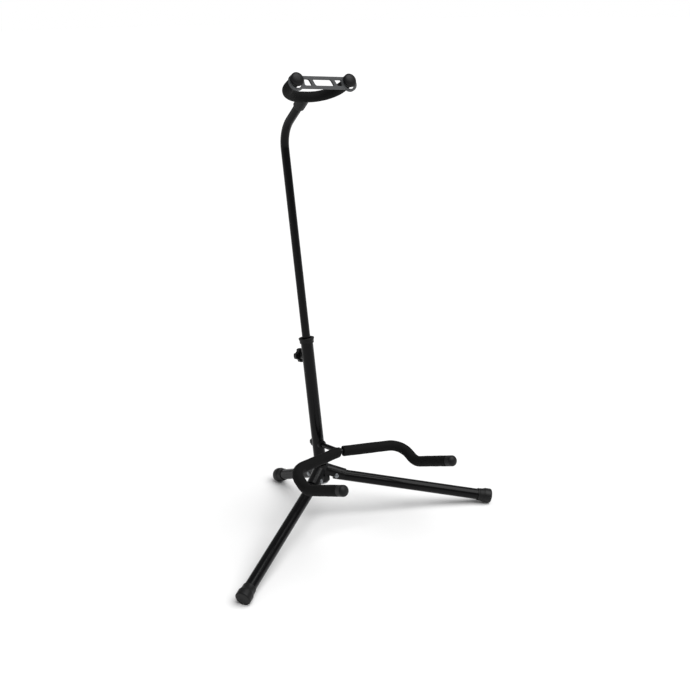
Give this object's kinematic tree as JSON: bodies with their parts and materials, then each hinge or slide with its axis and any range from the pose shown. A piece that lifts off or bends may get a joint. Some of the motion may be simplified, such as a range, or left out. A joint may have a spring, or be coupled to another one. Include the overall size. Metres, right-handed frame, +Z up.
{
  "type": "guitar on stand",
  "caption": "Folding tripod floor stand for a guitar, shown empty: leaning round mast, padded body cradle, padded neck yoke with strap, sliding upper tube.",
  "frame": {"origin": "on the floor under the middle of the stand's bounding box", "axes": "+Z up; -Y is the front, where the guitar goes, and the back leg points to +Y; +X is to the right seen from the front"},
  "size_m": [0.5524, 0.392, 0.7919],
  "materials": {
    "black_powder_coat": "glossy black powder coat",
    "pressed_steel": "satin black powder coat on pressed steel",
    "black_oxide": "black oxide on steel, oiled",
    "zinc": "bright zinc plate",
    "foam": "fine closed-cell foam, matt",
    "rubber": "moulded rubber, satin",
    "strap_rubber": "moulded soft rubber, satin",
    "moulding": "moulded plastic, fine texture",
    "grey_moulding": "moulded plastic, fine texture"
  },
  "bodies": {
    "mast": {"lower_tube": "black_powder_coat", "lower_tube_plug": "grey_moulding", "hub_sleeve": "pressed_steel", "leg_bracket_back": "pressed_steel", "leg_bracket_right": "pressed_steel", "leg_bracket_left": "pressed_steel", "leg_rivet_back": "zinc", "leg_rivet_right": "zinc", "leg_rivet_left": "zinc", "cradle_frame": "black_powder_coat", "stem_saddle_front": "moulding", "stem_saddle_back": "moulding", "stem_washer": "black_oxide", "stem_nut": "black_oxide", "cradle_foam_right": "foam", "cradle_foam_left": "foam", "cradle_cap_right": "rubber", "cradle_cap_left": "rubber", "tube_collar": "moulding", "clamp_boss": "black_powder_coat"},
    "leg_back": {"leg_tube_back": "black_powder_coat", "leg_plug_back": "moulding", "leg_foot_back": "rubber"},
    "leg_right": {"leg_tube_right": "black_powder_coat", "leg_plug_right": "moulding", "leg_foot_right": "rubber"},
    "leg_left": {"leg_tube_left": "black_powder_coat", "leg_plug_left": "moulding", "leg_foot_left": "rubber"},
    "knob": {"knob_head": "moulding", "knob_stud": "zinc"},
    "glide": {"glide_bushing": "moulding"},
    "neck": {"neck_tube": "black_powder_coat", "neck_tube_plug": "moulding", "glide_ring": "zinc", "yoke_sleeve": "rubber", "yoke_frame": "black_powder_coat", "yoke_foam": "foam", "yoke_button_right": "rubber", "yoke_button_left": "rubber", "neck_strap": "strap_rubber"}
  },
  "joints": [
    {"name": "leg_back_fold", "type": "hinge", "parent": "mast", "child": "leg_back", "pos_m": [0, 0.06386, 0.06918], "axis": [-1, 0, 0], "range_deg": [0, 73.5]},
    {"name": "leg_right_fold", "type": "hinge", "parent": "mast", "child": "leg_right", "pos_m": [0.02284, 0.02472, 0.07487], "axis": [0.5, 0.857, -0.1245], "range_deg": [0, 73.5]},
    {"name": "leg_left_fold", "type": "hinge", "parent": "mast", "child": "leg_left", "pos_m": [-0.02284, 0.02472, 0.07487], "axis": [0.5, -0.857, 0.1245], "range_deg": [0, 73.5]},
    {"name": "height_slide", "type": "slide", "parent": "mast", "child": "glide", "axis": [0, 0.1438, 0.9896], "range_m": [-0.11, 0.018]},
    {"name": "neck_swivel", "type": "hinge", "parent": "glide", "child": "neck", "pos_m": [0, 0.06535, 0.26279], "axis": [0, 0.1438, 0.9896], "continuous": true},
    {"name": "knob_turn", "type": "hinge", "parent": "mast", "child": "knob", "pos_m": [0, 0.09201, 0.29327], "axis": [0, 0.9896, -0.1438], "range_deg": [0, 360]}
  ]
}
